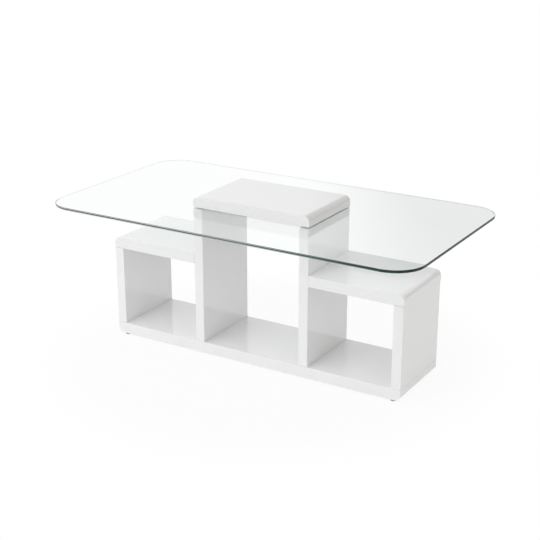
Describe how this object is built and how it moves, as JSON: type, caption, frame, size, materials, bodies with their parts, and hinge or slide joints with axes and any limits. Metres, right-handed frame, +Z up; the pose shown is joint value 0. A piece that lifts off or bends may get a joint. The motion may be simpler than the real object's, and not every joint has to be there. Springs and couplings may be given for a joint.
{
  "type": "coffee table",
  "caption": "Coffee table with a stepped white high-gloss base of open niches on glides, and a clear glass top with rounded corners that a raised cap board holds down.",
  "frame": {"origin": "on the floor, under the middle of the table", "axes": "+X along the table's length, +Y from the front to the back, +Z up"},
  "size_m": [1.2, 0.65, 0.5],
  "materials": {
    "white_lacquer": "high-gloss white lacquer on fibreboard",
    "clear_glass": "clear float glass with polished green edges",
    "glide_plastic": "moulded, matte grey",
    "beech": "pressed, unfinished",
    "insert_brass": "turned",
    "stud_steel": "zinc plated",
    "clear_plastic": "clear, soft",
    "socket_nylon": "natural nylon"
  },
  "bodies": {
    "root": {"back_left_glide": "glide_plastic", "back_right_glide": "glide_plastic", "base_biscuits": "beech", "base_board": "white_lacquer", "cap_sockets": "socket_nylon", "cap_studs": "stud_steel", "front_left_glide": "glide_plastic", "front_right_glide": "glide_plastic", "glass_sleeves": "clear_plastic", "glass_top": "clear_glass", "left_low_upright": "white_lacquer", "left_shelf_board": "white_lacquer", "left_tall_upright": "white_lacquer", "lower_glass_gaskets": "clear_plastic", "right_low_upright": "white_lacquer", "right_shelf_board": "white_lacquer", "right_tall_upright": "white_lacquer", "shelf_end_biscuits": "beech", "shelf_side_biscuits": "beech", "stud_inserts": "insert_brass", "tower_cap": "white_lacquer", "upper_glass_gaskets": "clear_plastic"}
  },
  "joints": []
}
